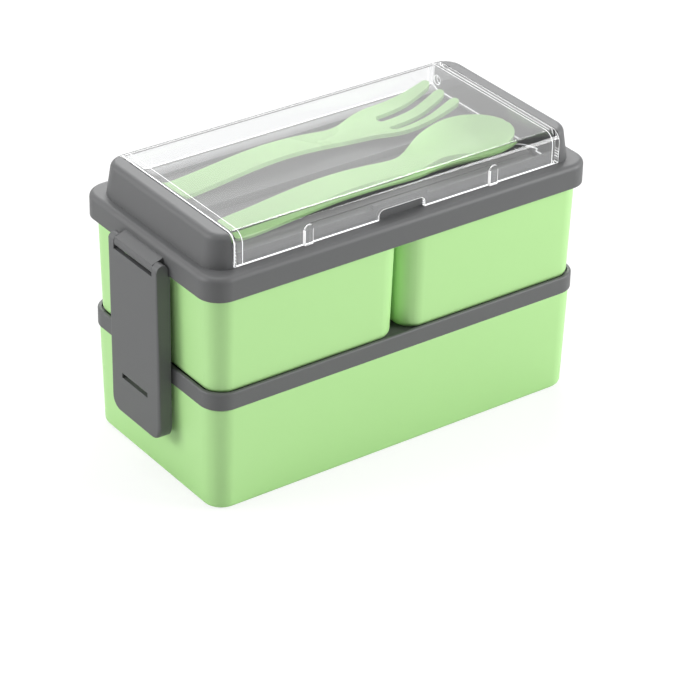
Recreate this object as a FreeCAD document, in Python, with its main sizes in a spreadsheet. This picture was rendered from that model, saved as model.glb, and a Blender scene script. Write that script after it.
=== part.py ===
import FreeCAD, Part
import Sketcher
import math
import os

# Stacked lunch box, in millimetres: length along X, front towards -Y, +Z up, origin under the middle
SIZES = {
    # clearances shared by every fit
    "slip_gap": 0.4,
    "face_gap": 0.1,
    "run_gap": 0.05,
    "length_minus_width": 92.8,
    "draft_angle": 1.5,
    "corner_radius": 10.0,
    # lower box
    "lower_length": 185.6,
    "lower_shoulder": 47.7,
    "lower_rim": 51.0,
    "lower_wall": 2.8,
    "lower_floor": 2.4,
    "lower_foot_round": 2.5,
    "inner_round": 4.0,
    # catch lug on each end of the lower box
    "lug_width": 17.0,
    "lug_middle": 41.2,
    "lug_tip_height": 1.0,
    "lug_root_height": 3.5,
    # mid lid
    "band_length": 186.8,
    "band_wall": 1.75,
    "band_bottom": 48.0,
    "band_top": 55.8,
    "band_round": 1.0,
    "mid_deck_under": 52.2,
    "mid_deck_top": 54.2,
    "plug_wall": 1.6,
    "mid_plug_bottom": 48.6,
    # upper boxes
    "upper_length": 185.4,
    "upper_split": 1.2,
    "upper_rim": 103.5,
    "upper_wall": 2.0,
    "upper_floor": 2.2,
    "upper_foot_round": 3.0,
    # top lid
    "lid_length": 190.0,
    "skirt_wall": 1.9,
    "skirt_bottom": 98.6,
    "ceiling_level": 104.8,
    "deck_level": 109.0,
    "deck_round": 2.5,
    "lid_plug_bottom": 101.6,
    # raised end cheeks and the tray between them
    "cheek_length": 180.6,
    "cheek_lean": 2.4,
    "cheek_top": 123.2,
    "cheek_round": 3.0,
    "tray_length": 157.0,
    "tray_width": 76.0,
    "tray_floor": 107.3,
    "lip_thickness": 1.4,
    "lip_top": 114.5,
    "lip_tab_top": 116.0,
    "lip_tab_width": 27.0,
    "ridge_side": 3.0,
    "ridge_width": 1.8,
    "ridge_top": 110.4,
    "ridge_length": 140.0,
    # latch and its knuckle on the lid
    "latch_face": 100.6,
    "latch_width": 35.8,
    "latch_bottom": 22.6,
    "latch_plate": 2.0,
    "latch_side_wall": 2.2,
    "latch_inner_face": 94.4,
    "latch_corner": 6.0,
    "ear_width": 3.8,
    "pivot_level": 101.2,
    "pivot_radius": 1.2,
    "stub_reach": 2.6,
    "slot_length": 19.0,
    "slot_height": 2.2,
    "knuckle_rise": 105.0,
    # clear cover
    "cover_length": 161.6,
    "cover_width": 86.0,
    "cover_top": 123.5,
    "cover_wall": 1.6,
    "cover_round": 5.0,
    "cover_lift": 0.25,
    "cheek_gap": 0.5,
    "hinge_side": 39.5,
    "hinge_level": 113.6,
    "hinge_radius": 2.0,
    "hinge_reach": 3.0,
    "relief_rise": 1.9,
    "notch_width": 22.4,
    "notch_height": 4.4,
    "notch_round": 2.0,
    "rib_offset": 46.0,
    "rib_width": 4.2,
    "rib_out": 0.8,
    "rib_top": 118.3,
    # cutlery
    "cutlery_thickness": 2.0,
    "handle_rise": 4.2,
    "handle_end_share": 0.55,
    "spoon_length": 148.0,
    "spoon_along": 3.6,
    "spoon_side": -14.3,
    "spoon_turn": 2.0,
    "spoon_handle": 18.0,
    "spoon_neck": 13.5,
    "spoon_head_width": 33.0,
    "spoon_head_length": 56.0,
    "spoon_head_depth": 6.4,
    "spoon_crest": 0.65,
    "spoon_point": 1.0,
    "spoon_tip_rise": 0.0,
    "fork_length": 144.5,
    "fork_along": -1.2,
    "fork_side": 23.4,
    "fork_turn": 0.5,
    "fork_handle": 14.0,
    "fork_neck": 13.0,
    "fork_head_width": 26.4,
    "fork_head_length": 57.0,
    "fork_head_depth": 2.6,
    "fork_crest": 0.5,
    "fork_point": 0.3,
    "fork_tip_rise": 5.6,
    "tine_gap": 4.4,
    "tine_length": 29.0,
}

doc = FreeCAD.newDocument("lunch_box")
sheet = doc.addObject("Spreadsheet::Sheet", "Sizes")
for row, (alias, value) in enumerate(SIZES.items(), start=1):
    sheet.set(f"A{row}", alias)
    sheet.set(f"B{row}", str(value))
    sheet.setAlias(f"B{row}", alias)
doc.recompute()


def size(alias):
    """Returns one size of the sheet as a number."""
    return float(sheet.get(alias))


def named(expression):
    """Returns an expression with the words that are sheet aliases pointed at the sheet."""
    words = expression.replace("(", " ( ").replace(")", " ) ").split()
    return " ".join(f"Sizes.{word}" if word in SIZES else word for word in words).replace("tan (", "tan(")


# Sketches and solids
def new_body(label):
    """Adds an empty body with the given label."""
    body = doc.addObject("PartDesign::Body", label)
    body.Label = label
    return body


def sketch_on(body, name, role, lift):
    """Adds a sketch on one of the body's own origin planes, moved out along the plane's normal."""
    sketch = body.newObject("Sketcher::SketchObject", name)
    plane = [item for item in body.Origin.OriginFeatures if item.Role == role][0]
    sketch.AttachmentSupport = [(plane, "")]
    sketch.MapMode = "FlatFace"
    sketch.setExpression("AttachmentOffset.Base.z", named(lift))
    return sketch


def bind(sketch, kind, arguments, name, expression, start):
    """Adds a named dimension to a sketch and ties it to an expression."""
    index = sketch.addConstraint(Sketcher.Constraint(kind, *arguments, start))
    sketch.renameConstraint(index, name)
    sketch.setExpression(f"Constraints.{name}", named(expression))


def rounded(body, name, lift, length, width, radius, shift="0"):
    """Draws a rectangle with round corners on a level plane, centred at a shift along X."""
    sketch = sketch_on(body, name, "XY_Plane", lift)
    sketch.setExpression("AttachmentOffset.Base.x", named(shift))
    half_x, half_y, corner = 50.0, 30.0, 8.0
    turns = ((1, -1, 270), (1, 1, 0), (-1, 1, 90), (-1, -1, 180))
    ends = []
    for side_x, side_y, first in turns:
        centre = FreeCAD.Vector(side_x * (half_x - corner), side_y * (half_y - corner), 0)
        begin, finish = math.radians(first), math.radians(first + 90)
        circle = Part.Circle(centre, FreeCAD.Vector(0, 0, 1), corner)
        arc = Part.ArcOfCircle(circle, begin, finish)
        ends.append((arc.StartPoint, arc.EndPoint))
        sketch.addGeometry(arc, False)
    for index in range(4):
        following = (index + 1) % 4
        sketch.addGeometry(Part.LineSegment(ends[index][1], ends[following][0]), False)
    for index in range(4):
        following = (index + 1) % 4
        sketch.addConstraint(Sketcher.Constraint("Tangent", index, 2, index + 4, 1))
        sketch.addConstraint(Sketcher.Constraint("Tangent", index + 4, 2, following, 1))
    for index in (4, 6):
        sketch.addConstraint(Sketcher.Constraint("Vertical", index))
    for index in (5, 7):
        sketch.addConstraint(Sketcher.Constraint("Horizontal", index))
    for index in range(3):
        sketch.addConstraint(Sketcher.Constraint("Equal", index, index + 1))
    sketch.addConstraint(Sketcher.Constraint("Symmetric", 0, 3, 2, 3, -1, 1))
    bind(sketch, "DistanceX", (6, 1, 4, 1), "across", length, 2 * half_x)
    bind(sketch, "DistanceY", (7, 1, 5, 1), "deep", width, 2 * half_y)
    bind(sketch, "Radius", (0,), "corner", radius, corner)
    return sketch


def outline(body, name, role, lift, points):
    """Draws a closed straight-sided outline whose corners are pairs of expressions."""
    sketch = sketch_on(body, name, role, lift)
    count = len(points)
    start = [(20 * math.cos(2 * math.pi * i / count), 20 * math.sin(2 * math.pi * i / count))
             for i in range(count)]
    for index in range(count):
        first, second = start[index], start[(index + 1) % count]
        sketch.addGeometry(Part.LineSegment(FreeCAD.Vector(*first, 0), FreeCAD.Vector(*second, 0)), False)
    for index in range(count):
        sketch.addConstraint(Sketcher.Constraint("Coincident", index, 2, (index + 1) % count, 1))
    for index, (across, up) in enumerate(points):
        bind(sketch, "DistanceX", (-1, 1, index, 1), f"across{index}", across, start[index][0])
        bind(sketch, "DistanceY", (-1, 1, index, 1), f"up{index}", up, start[index][1])
    return sketch


def block(body, name, role, lift, low_x, low_y, high_x, high_y):
    """Draws a rectangle from two opposite corners."""
    corners = ((low_x, low_y), (high_x, low_y), (high_x, high_y), (low_x, high_y))
    return outline(body, name, role, lift, corners)


def disc(body, name, role, lift, across, up, radius):
    """Draws a circle."""
    sketch = sketch_on(body, name, role, lift)
    sketch.addGeometry(Part.Circle(FreeCAD.Vector(5, 5, 0), FreeCAD.Vector(0, 0, 1), 2.0), False)
    bind(sketch, "DistanceX", (-1, 1, 0, 3), "across", across, 5.0)
    bind(sketch, "DistanceY", (-1, 1, 0, 3), "up", up, 5.0)
    bind(sketch, "Radius", (0,), "radius", radius, 2.0)
    return sketch


def grow(body, kind, name, sketch, length, reverse=False, both=False):
    """Adds a pad or pocket of a sketch."""
    feature = body.newObject(f"PartDesign::{kind}", name)
    feature.Profile = sketch
    feature.setExpression("Length", named(length))
    feature.Reversed = reverse
    feature.Midplane = both
    return feature


def loft(body, kind, name, first, second):
    """Adds or cuts a straight loft between two sketches."""
    feature = body.newObject(f"PartDesign::{kind}Loft", name)
    feature.Profile = first
    feature.Sections = [second]
    feature.Ruled = True
    return feature


def soften(body, name, radius, wanted):
    """Rounds the edges of the body's last feature that the test accepts."""
    doc.recompute()
    base = body.Tip
    names = [f"Edge{i + 1}" for i, edge in enumerate(base.Shape.Edges) if wanted(edge.BoundBox)]
    feature = body.newObject("PartDesign::Fillet", name)
    feature.Base = (base, names)
    feature.setExpression("Radius", named(radius))
    doc.recompute()
    return feature


def drafted(body, name, sketch, depth):
    """Adds a block below a sketch whose sides lean in towards its foot."""
    pad = grow(body, "Pad", f"{name}_block", sketch, depth, reverse=True)
    doc.recompute()
    top = pad.Shape.BoundBox.ZMax
    sides = [f"Face{i + 1}" for i, face in enumerate(pad.Shape.Faces) if face.BoundBox.ZLength > 1e-3]
    tops = [f"Face{i + 1}" for i, face in enumerate(pad.Shape.Faces) if face.BoundBox.ZMin > top - 1e-3]
    feature = body.newObject("PartDesign::Draft", name)
    feature.Base = (pad, sides)
    feature.NeutralPlane = (pad, tops)
    feature.Reversed = True
    feature.setExpression("Angle", named("draft_angle"))
    doc.recompute()
    return feature


def level(height):
    """Accepts edges that lie at one height."""
    return lambda box: abs(box.ZMin - height) < 1e-3 and abs(box.ZMax - height) < 1e-3


def hollow(body, name, floor, rim, length, width, corner):
    """Cuts a drafted cavity that is open at the top and has a round floor edge."""
    shrink = f"2 * tan ( draft_angle * 1 deg ) * ( {rim} - ( {floor} ) )"
    low = rounded(body, f"{name}_floor", floor, f"{length} - {shrink}", f"{width} - {shrink}",
                  f"{corner} - {shrink} / 2")
    high = rounded(body, f"{name}_mouth", rim, length, width, corner)
    return loft(body, "Subtractive", name, low, high)


def ring(body, name, low, high, length, width, corner, wall):
    """Adds an upright ring of even wall."""
    outer = rounded(body, f"{name}_outer", low, length, width, corner)
    grow(body, "Pad", name, outer, f"{high} - ( {low} )")
    inner = rounded(body, f"{name}_inner", low, f"{length} - 2 * {wall}", f"{width} - 2 * {wall}",
                    f"{corner} - {wall}")
    return grow(body, "Pocket", f"{name}_open", inner, f"{high} - ( {low} )", reverse=True)


# Lower box
lower_width = "lower_length - length_minus_width"
neck_length = "band_length - 2 * band_wall - 2 * slip_gap"
neck_width = f"{neck_length} - length_minus_width"
neck_corner = "corner_radius - band_wall"
lower_box = new_body("lower_box")
shoulder = rounded(lower_box, "shoulder", "lower_shoulder", "lower_length", lower_width, "corner_radius")
drafted(lower_box, "lower_shell", shoulder, "lower_shoulder")
soften(lower_box, "foot_round", "lower_foot_round", level(0.0))
neck = rounded(lower_box, "neck", "lower_shoulder", neck_length, neck_width, neck_corner)
grow(lower_box, "Pad", "neck_wall", neck, "lower_rim - lower_shoulder")
lower_mouth = "lower_length - 2 * lower_wall"
hollow(lower_box, "cavity", "lower_floor", "lower_rim", lower_mouth, f"{lower_mouth} - length_minus_width",
       "corner_radius - lower_wall")
soften(lower_box, "floor_round", "inner_round", level(size("lower_floor")))
lug_root = "lower_length / 2 - lower_wall / 2"
lug_tip = "latch_face - latch_plate - face_gap"
for side, sign in (("left", "-1"), ("right", "1")):
    profile = outline(lower_box, f"{side}_lug_profile", "XZ_Plane", "0", (
        (f"{sign} * ( {lug_root} )", "lug_middle + lug_tip_height / 2 - lug_root_height"),
        (f"{sign} * ( {lug_tip} )", "lug_middle - lug_tip_height / 2"),
        (f"{sign} * ( {lug_tip} )", "lug_middle + lug_tip_height / 2"),
        (f"{sign} * ( {lug_root} )", "lug_middle + lug_tip_height / 2")))
    grow(lower_box, "Pad", f"{side}_lug", profile, "lug_width", both=True)

# Mid lid and its seal
band_width = "band_length - length_minus_width"
mid_lid = new_body("mid_lid")
band = rounded(mid_lid, "band", "band_bottom", "band_length", band_width, "corner_radius")
grow(mid_lid, "Pad", "band_block", band, "band_top - band_bottom")
soften(mid_lid, "band_shoulder", "band_round", level(size("band_top")))
seat_length = "upper_length - 2 * tan ( draft_angle * 1 deg ) * ( upper_rim - band_top ) + 2 * slip_gap"
seat = rounded(mid_lid, "seat", "band_top", seat_length, f"{seat_length} - length_minus_width",
               "corner_radius - 2 * slip_gap")
grow(mid_lid, "Pocket", "seat_recess", seat, "band_top - mid_deck_top")
skirt_length = "band_length - 2 * band_wall"
under = rounded(mid_lid, "under", "band_bottom", skirt_length, f"{skirt_length} - length_minus_width", neck_corner)
grow(mid_lid, "Pocket", "under_recess", under, "mid_deck_under - band_bottom", reverse=True)
plug_length = f"{lower_mouth} - 2 * slip_gap"
plug_corner = "corner_radius - lower_wall - slip_gap"
plug = rounded(mid_lid, "plug", "mid_deck_under", plug_length, f"{plug_length} - length_minus_width", plug_corner)
grow(mid_lid, "Pad", "plug_block", plug, "mid_deck_under - mid_plug_bottom", reverse=True)
plug_inside = f"{plug_length} - 2 * plug_wall"
plug_open = rounded(mid_lid, "plug_open", "mid_plug_bottom", plug_inside, f"{plug_inside} - length_minus_width",
                    f"{plug_corner} - plug_wall")
grow(mid_lid, "Pocket", "plug_recess", plug_open, "mid_deck_under - mid_plug_bottom", reverse=True)

mid_seal = new_body("mid_lid_seal")
seal_length = f"{skirt_length} - 2 * face_gap"
seal_wall = f"( ( {skirt_length} ) - ( {plug_length} ) ) / 2 - 2 * face_gap"
ring(mid_seal, "seal", "lower_rim + face_gap", "mid_deck_under", seal_length, f"{seal_length} - length_minus_width",
     f"{neck_corner} - face_gap", f"( {seal_wall} )")

# Upper boxes and their seals
upper_width = "upper_length - length_minus_width"
half_length = "( upper_length - upper_split ) / 2"
half_centre = "( upper_length + upper_split ) / 4"
upper_mouth = f"{half_length} - 2 * upper_wall"
upper_mouth_width = f"{upper_width} - 2 * upper_wall"
upper_corner = "corner_radius - upper_wall"
for side, sign in (("left", "-1"), ("right", "1")):
    box = new_body(f"upper_{side}_box")
    box.setExpression("Placement.Base.x", named(f"{sign} * {half_centre}"))
    top = rounded(box, f"upper_{side}_top", "upper_rim", half_length, upper_width, "corner_radius")
    drafted(box, f"upper_{side}_shell", top, "upper_rim - mid_deck_top")
    soften(box, f"upper_{side}_foot_round", "upper_foot_round", level(size("mid_deck_top")))
    hollow(box, f"upper_{side}_cavity", "mid_deck_top + upper_floor", "upper_rim", upper_mouth, upper_mouth_width,
           upper_corner)
    soften(box, f"upper_{side}_floor_round", "inner_round", level(size("mid_deck_top") + size("upper_floor")))
    seal = new_body(f"upper_{side}_seal")
    seal.setExpression("Placement.Base.x", named(f"{sign} * {half_centre}"))
    ring(seal, f"upper_{side}_lip", "upper_rim + face_gap", "ceiling_level", f"{half_length} - 2 * face_gap",
         f"{upper_width} - 2 * face_gap", "corner_radius - face_gap", "upper_wall")

# Top lid: skirt, deck, cheeks, tray and knuckles
lid_width = "lid_length - length_minus_width"
top_lid = new_body("top_lid")
lid_plan = rounded(top_lid, "lid_plan", "skirt_bottom", "lid_length", lid_width, "corner_radius")
grow(top_lid, "Pad", "lid_block", lid_plan, "deck_level - skirt_bottom")
soften(top_lid, "deck_edge", "deck_round", level(size("deck_level")))
cheek_corner = "corner_radius"
cheek_plan = rounded(top_lid, "cheek_plan", "deck_level", "cheek_length", "cover_width", cheek_corner)
cheek_roof = rounded(top_lid, "cheek_roof", "cheek_top", "cheek_length - 2 * cheek_lean",
                     "cover_width - cheek_lean", "corner_radius - cheek_lean / 2")
loft(top_lid, "Additive", "cheek_block", cheek_plan, cheek_roof)
soften(top_lid, "cheek_edge", "cheek_round", level(size("cheek_top")))
bay = "cover_length / 2 + cheek_gap"
bay_plan = block(top_lid, "bay_plan", "XY_Plane", "cheek_top", f"-1 * ( {bay} )", "-1 * cover_width", bay, "cover_width")
grow(top_lid, "Pocket", "bay_cut", bay_plan, "cheek_top - deck_level")
tray_plan = rounded(top_lid, "tray_plan", "deck_level", "tray_length", "tray_width", "inner_round")
grow(top_lid, "Pocket", "tray_cut", tray_plan, "deck_level - tray_floor")
inside_length = "lid_length - 2 * skirt_wall"
inside = rounded(top_lid, "inside", "skirt_bottom", inside_length, f"{inside_length} - length_minus_width",
                 "corner_radius")
grow(top_lid, "Pocket", "inside_cut", inside, "ceiling_level - skirt_bottom", reverse=True)
lip_face = "cover_width / 2 - cover_wall - slip_gap"
lip_back = f"{lip_face} - lip_thickness"
lip_plan = block(top_lid, "lip_plan", "XY_Plane", "deck_level", "-1 * tray_length / 2", f"-1 * ( {lip_face} )",
                 "tray_length / 2", f"-1 * ( {lip_back} )")
grow(top_lid, "Pad", "lip_wall", lip_plan, "lip_top - deck_level")
tab_plan = block(top_lid, "tab_plan", "XY_Plane", "deck_level", "-1 * lip_tab_width / 2", f"-1 * ( {lip_face} )",
                 "lip_tab_width / 2", f"-1 * ( {lip_back} )")
grow(top_lid, "Pad", "lip_tab", tab_plan, "lip_tab_top - deck_level")
ridge_plan = block(top_lid, "ridge_plan", "XY_Plane", "tray_floor", "-1 * ridge_length / 2",
                   "ridge_side - ridge_width / 2", "ridge_length / 2", "ridge_side + ridge_width / 2")
grow(top_lid, "Pad", "ridge", ridge_plan, "ridge_top - tray_floor")
lid_plug = f"{upper_mouth} - 2 * slip_gap"
lid_plug_width = f"{upper_mouth_width} - 2 * slip_gap"
lid_plug_corner = "corner_radius - upper_wall - slip_gap"
for side, sign in (("left", "-1"), ("right", "1")):
    shift = f"{sign} * {half_centre}"
    plug = rounded(top_lid, f"{side}_plug", "ceiling_level", lid_plug, lid_plug_width, lid_plug_corner, shift)
    grow(top_lid, "Pad", f"{side}_plug_block", plug, "ceiling_level - lid_plug_bottom", reverse=True)
    plug_open = rounded(top_lid, f"{side}_plug_open", "lid_plug_bottom", f"{lid_plug} - 2 * plug_wall",
                        f"{lid_plug_width} - 2 * plug_wall", f"{lid_plug_corner} - plug_wall", shift)
    grow(top_lid, "Pocket", f"{side}_plug_recess", plug_open, "ceiling_level - lid_plug_bottom", reverse=True)
doc.recompute()

pivot_x = "latch_face - ( latch_face - lid_length / 2 - slip_gap + face_gap ) / 2"
ear_radius = "( latch_face - lid_length / 2 - slip_gap + face_gap ) / 2"
knuckle_half = "latch_width / 2 - ear_width - slip_gap / 2"
knuckle_radius = f"( {ear_radius} ) - face_gap"
SHOULDER = 0.8
for side, sign in (("left", "-1"), ("right", "1")):
    arm = outline(top_lid, f"{side}_arm_plan", "XZ_Plane", "0", (
        (f"{sign} * ( lid_length / 2 - skirt_wall / 2 )", "skirt_bottom"),
        (f"{sign} * ( {pivot_x} )", f"pivot_level - ( {knuckle_radius} )"),
        (f"{sign} * ( {pivot_x} + ( {knuckle_radius} ) )", "pivot_level"),
        (f"{sign} * ( {pivot_x} + ( {knuckle_radius} ) * {SHOULDER} )",
         f"pivot_level + ( {knuckle_radius} ) * {SHOULDER}"),
        (f"{sign} * ( lid_length / 2 )", "knuckle_rise"),
        (f"{sign} * ( lid_length / 2 - skirt_wall / 2 )", "knuckle_rise")))
    grow(top_lid, "Pad", f"{side}_arm", arm, f"2 * ( {knuckle_half} )", both=True)
    barrel = disc(top_lid, f"{side}_barrel_plan", "XZ_Plane", "0", f"{sign} * ( {pivot_x} )", "pivot_level",
                  knuckle_radius)
    grow(top_lid, "Pad", f"{side}_barrel", barrel, f"2 * ( {knuckle_half} )", both=True)
    for end, turn in (("front", "1"), ("back", "-1")):
        socket = disc(top_lid, f"{side}_{end}_socket_plan", "XZ_Plane", f"{turn} * ( {knuckle_half} )",
                      f"{sign} * ( {pivot_x} )", "pivot_level", "pivot_radius + run_gap")
        grow(top_lid, "Pocket", f"{side}_{end}_socket", socket, "stub_reach + slip_gap", reverse=(end == "back"))
    bore = disc(top_lid, f"{side}_bore_plan", "YZ_Plane", f"{sign} * ( {bay} )", "hinge_side", "hinge_level",
                "hinge_radius + run_gap")
    grow(top_lid, "Pocket", f"{side}_bore", bore, "hinge_reach + slip_gap", reverse=(side == "right"))
doc.recompute()

# Latches
ear_inside = "latch_width / 2 - ear_width"
for side, sign in (("left", "-1"), ("right", "1")):
    latch = new_body(f"{side}_latch")
    gap_level = f"pivot_level - ( {ear_radius} ) - slip_gap"
    plate_plan = block(latch, f"{side}_plate_plan", "YZ_Plane", f"{sign} * latch_face", "-1 * latch_width / 2",
                       "latch_bottom", "latch_width / 2", "pivot_level")
    grow(latch, "Pad", f"{side}_plate", plate_plan, "latch_face - latch_inner_face", reverse=(side == "right"))
    lower = size("latch_bottom")
    soften(latch, f"{side}_latch_round", "latch_corner",
           lambda box: abs(box.ZMax - lower) < 1e-3 and box.XLength > 1.0 and box.YLength < 1e-3)
    inner_half = "latch_width / 2 - latch_side_wall"
    channel = block(latch, f"{side}_channel_plan", "YZ_Plane", f"{sign} * latch_inner_face", f"-1 * ( {inner_half} )",
                    "latch_bottom + latch_side_wall", inner_half, "pivot_level")
    grow(latch, "Pocket", f"{side}_channel", channel, "latch_face - latch_inner_face - latch_plate",
         reverse=(side == "right"))
    lug_way = block(latch, f"{side}_lug_way_plan", "YZ_Plane", f"{sign} * latch_inner_face",
                    "-1 * lug_width / 2 - 2 * slip_gap", "latch_bottom - slip_gap", "lug_width / 2 + 2 * slip_gap",
                    "latch_bottom + 2 * latch_side_wall")
    grow(latch, "Pocket", f"{side}_lug_way", lug_way, "latch_face - latch_inner_face - latch_plate",
         reverse=(side == "right"))
    throat = block(latch, f"{side}_throat_plan", "YZ_Plane", f"{sign} * latch_face", f"-1 * ( {ear_inside} )",
                   gap_level, ear_inside, "pivot_level + latch_plate")
    grow(latch, "Pocket", f"{side}_throat", throat, "latch_face", reverse=(side == "left"))
    notch = block(latch, f"{side}_notch_plan", "XZ_Plane", "0", f"{sign} * latch_inner_face - latch_plate / 2",
                  "skirt_bottom - slip_gap", f"{sign} * latch_inner_face + latch_plate / 2",
                  "pivot_level + latch_plate")
    grow(latch, "Pocket", f"{side}_notch", notch, "2 * latch_width", both=True)
    for end, turn in (("front", "1"), ("back", "-1")):
        ear = disc(latch, f"{side}_{end}_ear_plan", "XZ_Plane", f"{turn} * ( {ear_inside} )",
                   f"{sign} * ( {pivot_x} )", "pivot_level", ear_radius)
        grow(latch, "Pad", f"{side}_{end}_ear", ear, "ear_width", reverse=(end == "back"))
        stub = disc(latch, f"{side}_{end}_stub_plan", "XZ_Plane", f"{turn} * ( {ear_inside} )",
                    f"{sign} * ( {pivot_x} )", "pivot_level", "pivot_radius")
        grow(latch, "Pad", f"{side}_{end}_stub", stub, "stub_reach", reverse=(end == "front"))
    slot = block(latch, f"{side}_slot_plan", "YZ_Plane", f"{sign} * latch_face", "-1 * slot_length / 2",
                 "lug_middle - slot_height / 2", "slot_length / 2", "lug_middle + slot_height / 2")
    grow(latch, "Pocket", f"{side}_slot", slot, "latch_plate + slip_gap", reverse=(side == "left"))
    doc.recompute()

# Clear cover
cover = new_body("cutlery_cover")
cover_floor = "deck_level + cover_lift"
cover_plan = block(cover, "cover_plan", "XY_Plane", cover_floor, "-1 * cover_length / 2", "-1 * cover_width / 2",
                   "cover_length / 2", "cover_width / 2")
grow(cover, "Pad", "cover_block", cover_plan, f"cover_top - ( {cover_floor} )")
roof = size("cover_top")
soften(cover, "cover_edge", "cover_round", lambda box: abs(box.ZMin - roof) < 1e-3 and box.XLength > 1.0)
room = outline(cover, "room_plan", "YZ_Plane", "-1 * ( cover_length / 2 - cover_wall )", (
    ("-1 * ( cover_width / 2 - cover_wall )", cover_floor),
    ("cover_width / 2 - cover_wall", cover_floor),
    ("cover_width / 2 - cover_wall", "cover_top - cover_round"),
    ("cover_width / 2 - cover_wall - cover_round * 0.22", "cover_top - cover_wall - cover_round * 0.2"),
    ("cover_width / 2 - cover_round", "cover_top - cover_wall"),
    ("-1 * ( cover_width / 2 - cover_round )", "cover_top - cover_wall"),
    ("-1 * ( cover_width / 2 - cover_wall - cover_round * 0.22 )", "cover_top - cover_wall - cover_round * 0.2"),
    ("-1 * ( cover_width / 2 - cover_wall )", "cover_top - cover_round")))
grow(cover, "Pocket", "room", room, "cover_length - 2 * cover_wall", reverse=True)
relief = outline(cover, "relief_plan", "YZ_Plane", "0", (
    ("hinge_side", cover_floor),
    ("cover_width", cover_floor),
    ("cover_width", f"{cover_floor} + relief_rise"),
    ("cover_width / 2", f"{cover_floor} + relief_rise")))
grow(cover, "Pocket", "relief", relief, "2 * cover_length", both=True)
notch_plan = block(cover, "notch_plan", "XZ_Plane", "cover_width / 2", "-1 * notch_width / 2", "deck_level",
                   "notch_width / 2", f"{cover_floor} + notch_height")
grow(cover, "Pocket", "finger_notch", notch_plan, "2 * cover_wall")
notch_end = size("notch_width") / 2
soften(cover, "notch_corners", "notch_round",
       lambda box: abs(abs(box.XMin) - notch_end) < 1e-3 and box.XLength < 1e-3 and box.ZLength < 1e-3
       and box.ZMin > size("deck_level") + size("notch_height") / 2)
for side, sign in (("left", "-1"), ("right", "1")):
    rib = block(cover, f"{side}_rib_plan", "XZ_Plane", "cover_width / 2 - cover_wall / 2",
                f"{sign} * rib_offset - rib_width / 2", cover_floor, f"{sign} * rib_offset + rib_width / 2",
                "rib_top - rib_width / 2")
    grow(cover, "Pad", f"{side}_rib", rib, "cover_wall / 2 + rib_out")
    rib_end = disc(cover, f"{side}_rib_end_plan", "XZ_Plane", "cover_width / 2 - cover_wall / 2",
                   f"{sign} * rib_offset", "rib_top - rib_width / 2", "rib_width / 2")
    grow(cover, "Pad", f"{side}_rib_end", rib_end, "cover_wall / 2 + rib_out")
    stub = disc(cover, f"{side}_stub_plan", "YZ_Plane", f"{sign} * ( cover_length / 2 - cover_wall )", "hinge_side",
                "hinge_level", "hinge_radius")
    grow(cover, "Pad", f"{side}_stub", stub, "cover_wall + hinge_reach", reverse=(side == "left"))
doc.recompute()


# Cutlery: thin shells lofted through crescent sections along the length
LOFT_STEPS = 30
DISH_START, DISH_END = 0.32, 0.72
ARCH_SPEED = 1.25
SECTION_SAG = 0.01


def crescent(along, half_width, rim, sag, thickness):
    """Returns a closed section: a dished strip of even thickness across the piece."""
    sides = (-1, -0.5, 0, 0.5, 1)
    top = [FreeCAD.Vector(along, side * half_width, rim - sag * (1 - side * side)) for side in sides]
    under = [point - FreeCAD.Vector(0, 0, thickness) for point in reversed(top)]
    upper, lower_curve = Part.BSplineCurve(), Part.BSplineCurve()
    upper.interpolate(top)
    lower_curve.interpolate(under)
    edges = [upper.toShape(), Part.makeLine(top[-1], under[0]), lower_curve.toShape(),
             Part.makeLine(under[-1], top[0])]
    return Part.Wire(edges)


def blend(value):
    """Smooth step from 0 to 1."""
    value = min(max(value, 0.0), 1.0)
    return value * value * (3 - 2 * value)


def oval(value):
    """Half width share of an oval at -1 to 1 along it."""
    return math.sqrt(max(1 - value * value, 0.0))


def shell(piece):
    """Lofts a piece of cutlery from its handle end at -X to its head at +X, standing on Z = 0."""
    length, head_length = size(f"{piece}_length"), size(f"{piece}_head_length")
    handle, slim = size(f"{piece}_handle") / 2, size(f"{piece}_neck") / 2
    head_half, head_depth = size(f"{piece}_head_width") / 2, size(f"{piece}_head_depth")
    crest, point, tip_rise = size(f"{piece}_crest"), size(f"{piece}_point"), size(f"{piece}_tip_rise")
    thickness, rise = size("cutlery_thickness"), size("handle_rise")
    head_start = length / 2 - head_length
    sections = []
    for step in range(LOFT_STEPS + 1):
        share = 0.5 - 0.5 * math.cos(math.pi * step / LOFT_STEPS)
        along = -length / 2 + length * share
        from_end = along + length / 2
        into_head = (along - head_start) / head_length
        width = handle + (slim - handle) * blend(from_end / (length - head_length))
        width *= max(size("handle_end_share"), oval(max(0.0, 1 - from_end / handle)))
        swell = blend(into_head / crest)
        past_crest = max(0.0, (into_head - crest) / (1 - crest))
        width = max(width * (1 - swell) + head_half * oval(past_crest * point) * swell, thickness)
        dish = head_depth * blend(into_head / DISH_START) * (1 - blend((into_head - DISH_END) / DISH_START))
        arch = rise * math.sin(math.pi * min(share * ARCH_SPEED, 1.0)) ** 2
        rim = thickness + head_depth * blend(into_head / DISH_START) + arch * (1 - swell) + tip_rise * past_crest ** 2
        sections.append(crescent(along, width, rim, dish + SECTION_SAG, thickness))
    return Part.makeLoft(sections, True, False)


def lay(label, shape, along, side, turn):
    """Adds a cutlery piece to the document, laid in the tray."""
    piece = doc.addObject("Part::Feature", label)
    piece.Label = label
    piece.Shape = shape
    spot = FreeCAD.Vector(along, side, size("tray_floor") + size("face_gap"))
    piece.Placement = FreeCAD.Placement(spot, FreeCAD.Rotation(FreeCAD.Vector(0, 0, 1), turn))
    return piece


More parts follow.
